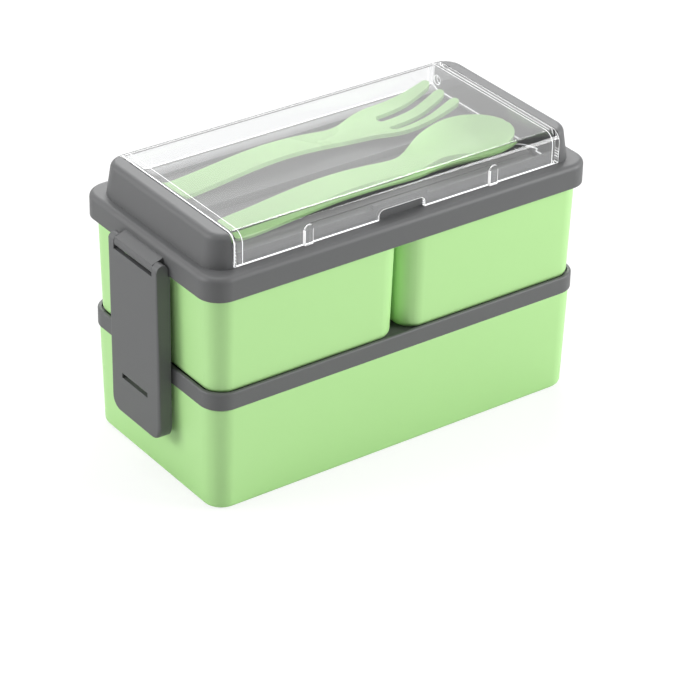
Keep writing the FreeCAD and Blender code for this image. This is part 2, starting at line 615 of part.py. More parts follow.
def tines(shape):
    """Cuts a fork's head into three tines with round tips and round gaps."""
    gap, tip = size("tine_gap"), size("fork_length") / 2
    tine = (size("fork_head_width") - 2 * gap) / 3
    root, tall = tip - size("tine_length"), size("cover_top")
    wide = size("fork_head_width")
    mask = Part.makeBox(tip + root, 2 * wide, tall, FreeCAD.Vector(-tip, -wide, -tall / 2))
    for middle in (-tine - gap, 0.0, tine + gap):
        straight = size("tine_length") - tine / 2
        mask = mask.fuse(Part.makeBox(straight, tine, tall, FreeCAD.Vector(root, middle - tine / 2, -tall / 2)))
        mask = mask.fuse(Part.makeCylinder(tine / 2, tall, FreeCAD.Vector(root + straight, middle, -tall / 2)))
    for middle in (-(tine + gap) / 2, (tine + gap) / 2):
        mask = mask.cut(Part.makeCylinder(gap / 2, tall, FreeCAD.Vector(root, middle, -tall / 2)))
    return shape.common(mask.removeSplitter())


spoon = lay("spoon", shell("spoon"), size("spoon_along"), size("spoon_side"), size("spoon_turn"))
fork = lay("fork", tines(shell("fork")), size("fork_along"), size("fork_side"), size("fork_turn"))
doc.recompute()

# Checks, then one file for each piece
NODES = ("lower_box", "mid_lid", "mid_lid_seal", "upper_left_box", "upper_right_box", "upper_left_seal",
         "upper_right_seal", "top_lid", "left_latch", "right_latch", "cutlery_cover", "spoon", "fork")
for item in doc.Objects:
    if "Invalid" in item.State or "Error" in item.State:
        raise RuntimeError(f"{item.Label} did not build")
for node in NODES:
    shape = doc.getObject(node).Shape
    if shape.isNull() or not shape.isValid() or len(shape.Solids) != 1:
        raise RuntimeError(f"{node} is not one sound solid")
os.makedirs("parts", exist_ok=True)
for node in NODES:
    doc.getObject(node).Shape.exportStep(f"parts/{node}.step")
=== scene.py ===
"""Dresses the stacked lunch box: moulded green boxes, dark grey lids and latches, a clear cutlery cover."""
import logging
import math
from collections.abc import Callable, Iterator
from contextlib import contextmanager
from dataclasses import dataclass, field, replace
from enum import Enum, IntEnum

import bmesh
import bpy
from mathutils import Matrix, Vector


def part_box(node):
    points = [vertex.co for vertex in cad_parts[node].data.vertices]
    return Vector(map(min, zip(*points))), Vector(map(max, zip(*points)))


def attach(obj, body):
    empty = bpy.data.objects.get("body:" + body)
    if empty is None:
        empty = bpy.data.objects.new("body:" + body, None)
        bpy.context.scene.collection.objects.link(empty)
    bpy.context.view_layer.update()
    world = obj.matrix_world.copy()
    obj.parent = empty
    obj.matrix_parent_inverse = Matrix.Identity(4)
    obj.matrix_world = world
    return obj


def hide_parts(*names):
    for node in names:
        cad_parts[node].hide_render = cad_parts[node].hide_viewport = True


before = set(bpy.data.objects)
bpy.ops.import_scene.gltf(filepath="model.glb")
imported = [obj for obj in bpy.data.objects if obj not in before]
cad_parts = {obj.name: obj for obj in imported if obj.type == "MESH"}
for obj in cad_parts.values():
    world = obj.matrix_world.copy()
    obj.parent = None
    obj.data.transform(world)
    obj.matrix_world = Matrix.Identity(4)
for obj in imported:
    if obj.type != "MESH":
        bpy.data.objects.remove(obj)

LOG = logging.getLogger("lunch_box")
MM = 0.001
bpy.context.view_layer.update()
# Points closer than this are taken to lie in one place.
TOUCH = 0.02 * MM
# Edges that turn by more than this are rounded, and are shaded crisp.
CRISP_DEGREES = 32.0
WHITE = (1.0, 1.0, 1.0, 1.0)

Triple = tuple[float, float, float]
EdgeTest = Callable[[bmesh.types.BMEdge], bool]
FaceTest = Callable[[bmesh.types.BMFace], bool]


class Slot(Enum):
    """The record's material slots."""

    GREEN = "green_plastic"
    GREY = "grey_plastic"
    SILICONE = "silicone"
    CLEAR = "clear_plastic"
    CUTLERY = "cutlery_plastic"


class Body(Enum):
    """The moving groups of the lunch box."""

    LOWER = "lower"
    MIDDLE = "middle"
    UPPER_LEFT = "upper_left"
    UPPER_RIGHT = "upper_right"
    LID = "lid"
    LATCH_LEFT = "latch_left"
    LATCH_RIGHT = "latch_right"
    COVER = "cover"
    SPOON = "spoon_body"
    FORK = "fork_body"


class End(IntEnum):
    """The two ends of the lunch box, as the sign of x."""

    LEFT = -1
    RIGHT = 1


class Axis(IntEnum):
    """The level directions, as places in a point."""

    X = 0
    Y = 1


class Joining(Enum):
    """What another solid does to a piece."""

    ADD = "UNION"
    CUT = "DIFFERENCE"


class CoverFinish(IntEnum):
    """The clear cover's finishes, in the order of its material slots."""

    PLAIN = 0
    # Painted highlight: a white finish that glows, on the bright edges and lines.
    EDGE = 1
    # Painted shade: a dark grey clear finish that draws the rear outline.
    PAINTED_OUTLINE_SHADE = 2
    # Painted reflection: the clear finish with a pale glow, on faces that look to the front.
    FRONT = 3


# Modelling helpers
def deselect_all() -> None:
    """Leaves nothing selected and no mode open."""
    if bpy.context.object is not None and bpy.context.object.mode != "OBJECT":
        bpy.ops.object.mode_set(mode="OBJECT")
    bpy.ops.object.select_all(action="DESELECT")


def activate(piece: bpy.types.Object) -> None:
    """Selects one piece alone and makes it active.

    Args:
        piece: The object to work on.
    """
    deselect_all()
    piece.select_set(True)
    bpy.context.view_layer.objects.active = piece


def apply_modifier(piece: bpy.types.Object, kind: str, **settings: object) -> None:
    """Adds a modifier to a piece and applies it at once.

    Args:
        piece: The object to change.
        kind: Blender's modifier type.
        **settings: Values for the modifier's properties.
    """
    activate(piece)
    modifier = piece.modifiers.new(kind.title(), kind)
    for name, value in settings.items():
        setattr(modifier, name, value)
    bpy.ops.object.modifier_apply(modifier=modifier.name)


def combine(piece: bpy.types.Object, other: bpy.types.Object, joining: Joining) -> None:
    """Joins another solid to a piece or cuts it out, and removes the other.

    Args:
        piece: The object to change.
        other: The solid to join or to take away.
        joining: Which of the two.
    """
    apply_modifier(piece, "BOOLEAN", operation=joining.value, object=other, solver="EXACT")
    bpy.data.objects.remove(other, do_unlink=True)


def shade(piece: bpy.types.Object) -> None:
    """Shades a piece smooth except across crisp edges, with its large faces flat.

    Args:
        piece: The object to shade.
    """
    activate(piece)
    bpy.ops.object.shade_smooth_by_angle(angle=math.radians(CRISP_DEGREES))
    apply_modifier(piece, "WEIGHTED_NORMAL", keep_sharp=True)


def settle(piece: bpy.types.Object) -> None:
    """Puts a piece's place, turn and scale into its mesh.

    Args:
        piece: The object to settle.
    """
    activate(piece)
    bpy.ops.object.transform_apply(location=True, rotation=True, scale=True)


def block(middle: Vector, size: Vector) -> bpy.types.Object:
    """Adds a block.

    Args:
        middle: The block's middle.
        size: Its length along each direction.

    Returns:
        The block, with its place and size in its mesh.
    """
    deselect_all()
    bpy.ops.mesh.primitive_cube_add(size=1.0, location=middle, scale=size)
    made = bpy.context.object
    settle(made)
    return made


def dress(piece: bpy.types.Object, *materials: bpy.types.Material) -> None:
    """Gives a piece its materials.

    Args:
        piece: The object to dress.
        *materials: The finishes, in the order of its material slots.
    """
    piece.data.materials.clear()
    for material in materials:
        piece.data.materials.append(material)


@contextmanager
def edit_mode(piece: bpy.types.Object) -> Iterator[None]:
    """Holds a piece in edit mode, with all of it selected at first.

    Args:
        piece: The object to edit.

    Yields:
        Nothing, while the mode is open.
    """
    activate(piece)
    bpy.ops.object.mode_set(mode="EDIT")
    bpy.ops.mesh.select_all(action="SELECT")
    yield
    bpy.ops.object.mode_set(mode="OBJECT")


def pick_edges(piece: bpy.types.Object, wanted: EdgeTest) -> None:
    """Selects only those edges that a test accepts.

    Args:
        piece: An object in edit mode.
        wanted: The test.
    """
    bpy.ops.mesh.select_mode(type="EDGE")
    bpy.ops.mesh.select_all(action="DESELECT")
    drawn = bmesh.from_edit_mesh(piece.data)
    for edge in drawn.edges:
        edge.select_set(wanted(edge))
    bmesh.update_edit_mesh(piece.data)


def pick_faces(piece: bpy.types.Object, wanted: FaceTest) -> None:
    """Selects only those faces that a test accepts.

    Args:
        piece: An object in edit mode.
        wanted: The test.
    """
    bpy.ops.mesh.select_mode(type="FACE")
    bpy.ops.mesh.select_all(action="DESELECT")
    drawn = bmesh.from_edit_mesh(piece.data)
    for face in drawn.faces:
        face.select_set(wanted(face))
    bmesh.update_edit_mesh(piece.data)


def round_edges(piece: bpy.types.Object, wanted: EdgeTest, radius: float, steps: int) -> None:
    """Rounds the edges that a test accepts.

    Args:
        piece: The object to shape.
        wanted: The test.
        radius: Round in millimetres.
        steps: Flat steps that make up the round.
    """
    with edit_mode(piece):
        pick_edges(piece, wanted)
        bpy.ops.mesh.bevel(offset=radius * MM, segments=steps, affect="EDGES")


def top_edges(level: float, axis: Axis) -> EdgeTest:
    """Makes a test for the top edges of a block that run one way.

    Args:
        level: Height of the block's top.
        axis: The direction in which the edges run.

    Returns:
        The test.
    """
    def wanted(edge: bmesh.types.BMEdge) -> bool:
        """Returns whether an edge lies at the level and runs along the axis."""
        first, second = (corner.co for corner in edge.verts)
        return min(first.z, second.z) > level - TOUCH and abs(first[axis] - second[axis]) > TOUCH

    return wanted


def split(piece: bpy.types.Object, place: Triple, across: Triple) -> None:
    """Splits a piece's faces along a plane, without taking anything away.

    Args:
        piece: The object to split.
        place: A point of the plane.
        across: The plane's normal.
    """
    with edit_mode(piece):
        bpy.ops.mesh.bisect(plane_co=place, plane_no=across)


# Finishes
def new_material(name: str) -> tuple[bpy.types.Material, bpy.types.NodeTree]:
    """Makes a material with Blender's first nodes.

    Args:
        name: The material's name.

    Returns:
        The material and its node tree.
    """
    made = bpy.data.materials.new(name)
    made.use_nodes = True
    return made, made.node_tree


def set_inputs(node: bpy.types.Node, values: dict[str, object]) -> None:
    """Sets inputs of a node that nothing is linked to.

    Args:
        node: The node.
        values: The inputs' values, by name.
    """
    for name, value in values.items():
        node.inputs[name].default_value = value


def work_out(tree: bpy.types.NodeTree, operation: str,
             *values: bpy.types.NodeSocket | float) -> bpy.types.NodeSocket:
    """Adds a Math node.

    Args:
        tree: The node tree.
        operation: Blender's name for the sum.
        *values: The inputs, each a socket to link or a number.

    Returns:
        The result's socket.
    """
    sum_node = tree.nodes.new("ShaderNodeMath")
    sum_node.operation = operation
    for entry, value in zip(sum_node.inputs, values):
        if isinstance(value, bpy.types.NodeSocket):
            tree.links.new(value, entry)
        else:
            entry.default_value = value
    return sum_node.outputs[0]


@dataclass(frozen=True)
class MouldedSkin:
    """The shared look of moulded plastic: faint cloudiness, fine grain and uneven gloss."""

    cloud_detail: float = 3.0
    grain_detail: float = 2.0
    noise_middle: float = 0.5

    def group(self) -> bpy.types.NodeTree:
        """Builds the look's node group.

        Returns:
            A shader node group with colour, roughness and height outputs.
        """
        group = bpy.data.node_groups.new("moulded_skin", "ShaderNodeTree")
        for way, kind, names in (
            ("INPUT", "NodeSocketColor", ("Colour",)),
            ("INPUT", "NodeSocketFloat",
             ("Grain Scale", "Cloud Scale", "Cloud Depth", "Gloss", "Gloss Spread")),
            ("OUTPUT", "NodeSocketColor", ("Colour",)),
            ("OUTPUT", "NodeSocketFloat", ("Roughness", "Height")),
        ):
            for name in names:
                group.interface.new_socket(name, in_out=way, socket_type=kind)
        nodes, links = group.nodes, group.links
        entry, leave = nodes.new("NodeGroupInput"), nodes.new("NodeGroupOutput")
        place = nodes.new("ShaderNodeTexCoord")
        cloud, grain = nodes.new("ShaderNodeTexNoise"), nodes.new("ShaderNodeTexNoise")
        for noise, scale, detail in ((cloud, "Cloud Scale", self.cloud_detail),
                                     (grain, "Grain Scale", self.grain_detail)):
            noise.inputs["Detail"].default_value = detail
            links.new(place.outputs["Object"], noise.inputs["Vector"])
            links.new(entry.outputs[scale], noise.inputs["Scale"])
        centred = work_out(group, "SUBTRACT", cloud.outputs["Fac"], self.noise_middle)
        depth = work_out(group, "MULTIPLY_ADD", centred, entry.outputs["Cloud Depth"], 1.0)
        gloss = work_out(group, "MULTIPLY_ADD", centred, entry.outputs["Gloss Spread"],
                         entry.outputs["Gloss"])
        tint = nodes.new("ShaderNodeHueSaturation")
        links.new(entry.outputs["Colour"], tint.inputs["Color"])
        links.new(depth, tint.inputs["Value"])
        links.new(tint.outputs["Color"], leave.inputs["Colour"])
        links.new(gloss, leave.inputs["Roughness"])
        links.new(grain.outputs["Fac"], leave.inputs["Height"])
        return group


@dataclass(frozen=True)
class MouldedPlastic:
    """An opaque injection-moulded plastic finish.

    Colours are linear, scales are per metre and the grain's height is in metres.
    """

    name: str
    colour: Triple
    roughness: float
    grain_scale: float
    grain_height: float
    grain_strength: float = 0.35
    cloud_scale: float = 18.0
    cloud_depth: float = 0.03
    gloss_spread: float = 0.06
    # An emission of the surface; on the clear cover's edges it is a painted highlight.
    glow: float = 0.0

    def material(self, skin: bpy.types.NodeTree) -> bpy.types.Material:
        """Makes the material.

        Args:
            skin: The shared moulded-skin node group.

        Returns:
            The finished material.
        """
        made, tree = new_material(self.name)
        nodes, links = tree.nodes, tree.links
        shader = nodes["Principled BSDF"]
        group = nodes.new("ShaderNodeGroup")
        group.node_tree = skin
        set_inputs(group, {"Colour": (*self.colour, 1.0), "Grain Scale": self.grain_scale,
                           "Cloud Scale": self.cloud_scale, "Cloud Depth": self.cloud_depth,
                           "Gloss": self.roughness, "Gloss Spread": self.gloss_spread})
        bump = nodes.new("ShaderNodeBump")
        set_inputs(bump, {"Strength": self.grain_strength, "Distance": self.grain_height})
        links.new(group.outputs["Colour"], shader.inputs["Base Color"])
        links.new(group.outputs["Roughness"], shader.inputs["Roughness"])
        links.new(group.outputs["Height"], bump.inputs["Height"])
        links.new(bump.outputs["Normal"], shader.inputs["Normal"])
        set_inputs(shader, {"Emission Color": WHITE, "Emission Strength": self.glow})
        return made


@dataclass(frozen=True)
class ClearPlastic:
    """Polished clear plastic that lets light through to what lies under it.

    The colour turns to a painted shade colour where a face is seen from its side. The shade is the light that
    a shadow lets through, and the reflection glow is a painted reflection of the bright room that a face
    mirrors.
    """

    name: str
    colour: Triple
    roughness: float
    index: float
    shade: float
    # Painted shade: the darker grey that a face turns to where it is seen from its side.
    grazing_shade_colour: Triple = (0.35, 0.36, 0.36)
    grazing_shade_power: float = 4.0
    ripple_scale: float = 30.0
    ripple_detail: float = 1.0
    ripple_spread: float = 0.4
    # Painted reflection: a pale emission for the bright room that a face mirrors.
    reflection_glow: float = 0.0

    def material(self) -> bpy.types.Material:
        """Makes the material, with shadows that stay light.

        Returns:
            The finished material.
        """
        made, tree = new_material(self.name)
        nodes, links = tree.nodes, tree.links
        shader = nodes["Principled BSDF"]
        facing, tint = nodes.new("ShaderNodeLayerWeight"), nodes.new("ShaderNodeMix")
        tint.data_type = "RGBA"
        set_inputs(tint, {"A": (*self.colour, 1.0), "B": (*self.grazing_shade_colour, 1.0)})
        # Painted shade: darker the more a face is seen from its side.
        steep = work_out(tree, "POWER", facing.outputs["Facing"], self.grazing_shade_power)
        links.new(steep, tint.inputs["Factor"])
        links.new(tint.outputs["Result"], shader.inputs["Base Color"])
        place, ripple = nodes.new("ShaderNodeTexCoord"), nodes.new("ShaderNodeTexNoise")
        set_inputs(ripple, {"Scale": self.ripple_scale, "Detail": self.ripple_detail})
        gloss = nodes.new("ShaderNodeMapRange")
        set_inputs(gloss, {"To Min": self.roughness * (1 - self.ripple_spread),
                           "To Max": self.roughness * (1 + self.ripple_spread)})
        links.new(place.outputs["Object"], ripple.inputs["Vector"])
        links.new(ripple.outputs["Fac"], gloss.inputs["Value"])
        links.new(gloss.outputs["Result"], shader.inputs["Roughness"])
        # The emission is the painted reflection glow.
        set_inputs(shader, {"Transmission Weight": 1.0, "IOR": self.index,
                            "Emission Color": WHITE, "Emission Strength": self.reflection_glow})
        clear, path = nodes.new("ShaderNodeBsdfTransparent"), nodes.new("ShaderNodeLightPath")
        clear.inputs["Color"].default_value = (self.shade, self.shade, self.shade, 1.0)
        blend = nodes.new("ShaderNodeMixShader")
        links.new(path.outputs["Is Shadow Ray"], blend.inputs["Fac"])
        links.new(shader.outputs["BSDF"], blend.inputs[1])
        links.new(clear.outputs["BSDF"], blend.inputs[2])
        links.new(blend.outputs["Shader"], nodes["Material Output"].inputs["Surface"])
        return made


GREEN = MouldedPlastic("satin_green", (0.475, 0.80, 0.325), 0.38, 1400.0, 0.00003, cloud_depth=0.02)
GREY = MouldedPlastic("matt_grey", (0.118, 0.120, 0.122), 0.5, 2200.0, 0.00006, cloud_depth=0.05)
SILICONE = MouldedPlastic("pale_silicone", (0.62, 0.63, 0.63), 0.6, 1800.0, 0.00002)
CUTLERY = replace(GREEN, name="gloss_green", roughness=0.28, grain_scale=900.0, grain_height=0.00001)
CLEAR = ClearPlastic("clear_cover", (0.945, 0.95, 0.955), 0.02, 1.46, 0.62)
# Painted reflection: the clear finish with a pale glow on faces that look to the front.
FRONT = replace(CLEAR, name="clear_painted_reflection", reflection_glow=0.125)
# Painted shade: a dark grey clear finish that draws the cover's rear outline.
PAINTED_OUTLINE_SHADE = replace(CLEAR, name="clear_painted_outline_shade", colour=(0.36, 0.37, 0.375))
# Painted highlight: a white glowing finish for the bright edges and lines of the clear cover.
EDGE = MouldedPlastic("clear_painted_edge_highlight", (0.95, 0.96, 0.96), 0.25, 900.0, 0.00001, cloud_depth=0.02, glow=0.5)


@dataclass
class Wardrobe:
    """Every material of the lunch box, made once."""

    materials: dict[Slot, bpy.types.Material] = field(default_factory=dict)
    cover: dict[CoverFinish, bpy.types.Material] = field(default_factory=dict)

    def fill(self) -> None:
        """Makes all the materials."""
        skin = MouldedSkin().group()
        for slot, finish in ((Slot.GREEN, GREEN), (Slot.GREY, GREY), (Slot.SILICONE, SILICONE),
                             (Slot.CUTLERY, CUTLERY)):
            self.materials[slot] = finish.material(skin)
        self.cover[CoverFinish.PLAIN] = CLEAR.material()
        # The cover's painted highlight, painted outline shade and painted reflection finishes.
        self.cover[CoverFinish.EDGE] = EDGE.material(skin)
        self.cover[CoverFinish.PAINTED_OUTLINE_SHADE] = PAINTED_OUTLINE_SHADE.material()
        self.cover[CoverFinish.FRONT] = FRONT.material()


# Pieces
@dataclass
class Moulding:
    """One moulded piece: the CAD solid's form, with a small round along its crisp edges.

    Sizes are in millimetres.
    """

    node: str
    body: Body
    slot: Slot
    edge_round: float
    edge_steps: int = 3
    merge_gap: float = 0.002
    flat_degrees: float = 0.6

    def build(self) -> bpy.types.Object:
        """Copies the solid's mesh, joins its triangles and rounds its crisp edges.

        Returns:
            The new piece.
        """
        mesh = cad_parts[self.node].data.copy()
        piece = bpy.data.objects.new(f"{self.node}_moulding", mesh)
        bpy.context.scene.collection.objects.link(piece)
        with edit_mode(piece):
            bpy.ops.mesh.remove_doubles(threshold=self.merge_gap * MM)
            bpy.ops.mesh.dissolve_limited(angle_limit=math.radians(self.flat_degrees))
        self.shape(piece)
        apply_modifier(piece, "BEVEL", width=self.edge_round * MM, segments=self.edge_steps,
                       limit_method="ANGLE", angle_limit=math.radians(CRISP_DEGREES),
                       use_clamp_overlap=True, harden_normals=False, miter_outer="MITER_ARC")
        shade(piece)
        return piece

    def shape(self, piece: bpy.types.Object) -> None:
        """Leaves the form as it is; a piece with wider rounds makes them here."""

    def dress(self, piece: bpy.types.Object, wardrobe: Wardrobe) -> None:
        """Gives the piece its finish and body, and hides the CAD solid.

        Args:
            piece: The moulding made by build.
            wardrobe: The materials.
        """
        dress(piece, wardrobe.materials[self.slot])
        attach(piece, self.body.value)
        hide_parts(self.node)


@dataclass
class EndLatch(Moulding):
    """An end latch whose outer face rolls over into its sides and foot."""

    face_round: float = 1.3
    face_steps: int = 4
    foot_corner: float = 6.0
    pivot_level: float = 101.2
    corner_degrees: float = 40.0

    def shape(self, piece: bpy.types.Object) -> None:
        """Rounds the outline of the outer face, up to the pivot.

        Args:
            piece: The merged latch.
        """
        low, high = (Vector(corner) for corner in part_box(self.node))
        outer = low.x if self.body is Body.LATCH_LEFT else high.x
        foot, pivot = low.z + self.foot_corner * MM, self.pivot_level * MM

        def outline(edge: bmesh.types.BMEdge) -> bool:
            """Tests an edge of the merged latch.

            Args:
                edge: The edge.

            Returns:
                Whether it bounds the outer face and lies below the pivot.
            """
            ends = [corner.co for corner in edge.verts]
            on_face = all(abs(end.x - outer) < TOUCH for end in ends)
            on_side = all(min(end.y - low.y, high.y - end.y) < TOUCH for end in ends)
            on_foot = all(end.z < foot + TOUCH for end in ends)
            below = all(end.z < pivot + TOUCH for end in ends)
            sharp = edge.calc_face_angle(0.0) > math.radians(self.corner_degrees)
            return on_face and (on_side or on_foot) and below and sharp

        round_edges(piece, outline, self.face_round, self.face_steps)


class SubAssembly:
    """Mouldings that belong together."""

    def mouldings(self) -> list[Moulding]:
        """Returns the mouldings, in the order in which they are made."""
        return []

    def build(self, wardrobe: Wardrobe) -> list[bpy.types.Object]:
        """Builds and dresses the mouldings.

        Args:
            wardrobe: The materials.

        Returns:
            The finished pieces.
        """
        pieces = []
        for moulding in self.mouldings():
            piece = moulding.build()
            moulding.dress(piece, wardrobe)
            pieces.append(piece)
        return pieces


@dataclass
class LowerTier(SubAssembly):
    """The deep green box that stands on the table."""

    box_round: float = 0.5

    def mouldings(self) -> list[Moulding]:
        """Returns the box."""
        return [Moulding("lower_box", Body.LOWER, Slot.GREEN, self.box_round)]


@dataclass
class MiddleLid(SubAssembly):
    """The grey lid between the tiers, with its seal."""

    lid_round: float = 0.35
    seal_round: float = 0.3

    def mouldings(self) -> list[Moulding]:
        """Returns the lid and its seal."""
        return [Moulding("mid_lid", Body.MIDDLE, Slot.GREY, self.lid_round),
                Moulding("mid_lid_seal", Body.MIDDLE, Slot.SILICONE, self.seal_round)]


@dataclass
class UpperTier(SubAssembly):
    """The two green boxes of the upper tier."""

    box_round: float = 0.5

    def mouldings(self) -> list[Moulding]:
        """Returns the left and the right box."""
        return [Moulding("upper_left_box", Body.UPPER_LEFT, Slot.GREEN, self.box_round),
                Moulding("upper_right_box", Body.UPPER_RIGHT, Slot.GREEN, self.box_round)]


@dataclass
class TopLid(SubAssembly):
    """The grey lid over the upper tier, with the seals under it."""

    lid_round: float = 0.45
    seal_round: float = 0.3

    def mouldings(self) -> list[Moulding]:
        """Returns both seals and the lid."""
        return [Moulding("upper_left_seal", Body.LID, Slot.SILICONE, self.seal_round),
                Moulding("upper_right_seal", Body.LID, Slot.SILICONE, self.seal_round),
                Moulding("top_lid", Body.LID, Slot.GREY, self.lid_round)]


@dataclass
class LatchPair(SubAssembly):
    """The grey latches at the two ends."""

    edge_round: float = 0.6

    def mouldings(self) -> list[Moulding]:
        """Returns the left and the right latch."""
        return [EndLatch("left_latch", Body.LATCH_LEFT, Slot.GREY, self.edge_round),
                EndLatch("right_latch", Body.LATCH_RIGHT, Slot.GREY, self.edge_round)]


@dataclass
class CutlerySet(SubAssembly):
    """The green spoon and fork."""

    edge_round: float = 0.5

    def mouldings(self) -> list[Moulding]:
        """Returns the spoon and the fork."""
        return [Moulding("spoon", Body.SPOON, Slot.CUTLERY, self.edge_round),
                Moulding("fork", Body.FORK, Slot.CUTLERY, self.edge_round)]


@dataclass
class ClearCover(SubAssembly):
    """The clear hinged cover over the cutlery, with its finger notch, front ribs and hinge stubs.

    Sizes are in millimetres, and the box comes from the CAD node. The fields that end in facing say how
    much of a face's normal points to a side, up, down or to the front. The lower rim stays plain for the
    length rim_clear behind the front wall, and so does a rib's top, over rib_plain_share of its width.
    """

    wall: float = 1.6
    top_round: float = 5.0
    top_steps: int = 10
    stub_reach: float = 3.0
    stub_radius: float = 2.0
    stub_sides: int = 32
    hinge_side: float = 39.5
    hinge_level: float = 113.6
    relief_rise: float = 1.9
    notch_width: float = 22.4
    notch_height: float = 4.4
    notch_depth: float = 6.4
    notch_round: float = 2.2
    notch_steps: int = 5
    rib_out: float = 0.8
    rib_offset: float = 46.0
    rib_width: float = 4.2
    rib_top: float = 118.3
    rib_round_share: float = 0.49
    rib_steps: int = 6
    merge_gap: float = 0.03
    flat_degrees: float = 0.5
    edge_round: float = 0.34
    edge_steps: int = 2
    edge_degrees: float = 40.0
    rim_height: float = 1.0
    rim_clear: float = 9.0
    rib_plain_share: float = 0.6
    side_facing: float = 0.25
    back_tilt_least: float = 10.0
    back_tilt_most: float = 45.0
    up_facing: float = 0.5
    front_facing: float = 0.8
    down_facing: float = 0.3
    border_in: float = 3.8
    border_width: float = 0.35
    border_depth: float = 0.06

    def shell_box(self) -> tuple[Vector, Vector]:
        """Works out the cover's own box, without ribs and stubs.

        Returns:
            Its lowest and highest corners.
        """
        low, high = (Vector(corner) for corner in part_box("cutlery_cover"))
        low.x += self.stub_reach * MM
        high.x -= self.stub_reach * MM
        low.y += self.rib_out * MM
        return low, high

    def shell(self) -> bpy.types.Object:
        """Makes the hollow clear shell.

        Returns:
            The shell, open below.
        """
        low, high = self.shell_box()
        shell = block((low + high) / 2, high - low)
        shell.name = "cutlery_cover_shell"
        round_edges(shell, top_edges(high.z, Axis.X), self.top_round, self.top_steps)
        with edit_mode(shell):
            pick_faces(shell, lambda face: all(abs(corner.co.z - low.z) < TOUCH for corner in face.verts))
            bpy.ops.mesh.delete(type="FACE")
        apply_modifier(shell, "SOLIDIFY", thickness=self.wall * MM, offset=-1.0, use_even_offset=True)
        return shell

    def notch_cutter(self) -> bpy.types.Object:
        """Makes a block with round upper corners, in the place of the finger notch.

        Returns:
            The block, deeper than the wall.
        """
        low, _ = self.shell_box()
        rise = self.notch_height * MM
        size = Vector((self.notch_width * MM, self.notch_depth * MM, 2 * rise))
        cutter = block(Vector((0, low.y, low.z)), size)
        round_edges(cutter, top_edges(low.z + rise, Axis.Y), self.notch_round, self.notch_steps)
        return cutter

    def trim_relief(self, piece: bpy.types.Object) -> None:
        """Slants the rear lower edge so that the cover can swing back.

        Args:
            piece: The shell to trim.
        """
        low, high = self.shell_box()
        hinge = self.hinge_side * MM
        slope = math.atan2(self.relief_rise * MM, high.y - hinge)
        with edit_mode(piece):
            bpy.ops.mesh.bisect(plane_co=(0, hinge, low.z), plane_no=(0, -math.sin(slope), math.cos(slope)),
                                use_fill=True, clear_inner=True)

    def rib(self, end: End) -> bpy.types.Object:
        """Makes one upright rib of the front wall, with a round top.

        Args:
            end: The end that the rib is nearer to.

        Returns:
            The rib, sunk into the wall.
        """
        low, _ = self.shell_box()
        top = self.rib_top * MM
        deep = (self.rib_out + self.wall / 2) * MM
        front = low.y - self.rib_out * MM
        middle = Vector((end * self.rib_offset * MM, front + deep / 2, (low.z + top) / 2))
        rib = block(middle, Vector((self.rib_width * MM, deep, top - low.z)))
        round_edges(rib, top_edges(top, Axis.Y), self.rib_width * self.rib_round_share, self.rib_steps)
        return rib

    def stub(self, end: End) -> bpy.types.Object:
        """Makes one round hinge stub at an end of the cover.

        Args:
            end: The end that it stands on.

        Returns:
            The stub, sunk into the end wall.
        """
        low, high = self.shell_box()
        sunk, reach = self.wall / 2 * MM, self.stub_reach * MM
        face = high.x if end is End.RIGHT else low.x
        middle = (face + end * (reach - sunk) / 2, self.hinge_side * MM, self.hinge_level * MM)
        deselect_all()
        bpy.ops.mesh.primitive_cylinder_add(vertices=self.stub_sides, radius=self.stub_radius * MM,
                                            depth=sunk + reach, location=middle, rotation=(0, math.pi / 2, 0))
        stub = bpy.context.object
        settle(stub)
        return stub

    def clean(self, piece: bpy.types.Object) -> None:
        """Joins loose points and flat neighbours left by the cuts.

        Args:
            piece: The shell.
        """
        with edit_mode(piece):
            bpy.ops.mesh.remove_doubles(threshold=self.merge_gap * MM)
            bpy.ops.mesh.dissolve_limited(angle_limit=math.radians(self.flat_degrees))
            bpy.ops.mesh.normals_make_consistent(inside=False)

    def paint_edge_highlights(self, piece: bpy.types.Object) -> None:
        """Rounds the crisp edges and keeps the painted highlight, a white glowing finish, on the outer ones
        alone.

        Args:
            piece: The shell.
        """
        apply_modifier(piece, "BEVEL", width=self.edge_round * MM, segments=self.edge_steps,
                       limit_method="ANGLE", angle_limit=math.radians(self.edge_degrees),
                       use_clamp_overlap=False, material=CoverFinish.EDGE)
        low, high = self.shell_box()
        reach = self.wall * MM / 2
        straight = (self.rib_top - self.rib_width * self.rib_plain_share) * MM
        ahead, behind = low.y + 2 * self.wall * MM, low.y + self.rim_clear * MM
        split(piece, (0, behind, 0), (0, 1, 0))
        # Only faces near the outer edges, the lower rim and the lit rib sides keep the painted highlight.
        for face in piece.data.polygons:
            spot = face.center
            inside = min(spot.x - low.x, high.x - spot.x, spot.y - low.y, high.y - spot.y, high.z - spot.z)
            on_rib = spot.y < low.y - TOUCH and spot.z > low.z + self.rim_height * MM
            lit_rib = abs(face.normal.x) > self.side_facing and spot.z < straight
            rim = spot.z - low.z < reach and not ahead < spot.y < behind
            if not (inside < reach or rim) or (on_rib and not lit_rib):
                face.material_index = CoverFinish.PLAIN

    def shade_back(self, piece: bpy.types.Object) -> None:
        """Gives the rear top round a darker finish, a painted shade line that draws its outline.

        Args:
            piece: The shell.
        """
        _, high = self.shell_box()
        start = high.y - self.top_round * MM
        for face in piece.data.polygons:
            tilt = math.degrees(math.asin(face.normal.y))
            slanted = self.back_tilt_least < tilt < self.back_tilt_most
            if face.center.y > start and slanted and face.normal.z > self.up_facing:
                face.material_index = CoverFinish.PAINTED_OUTLINE_SHADE

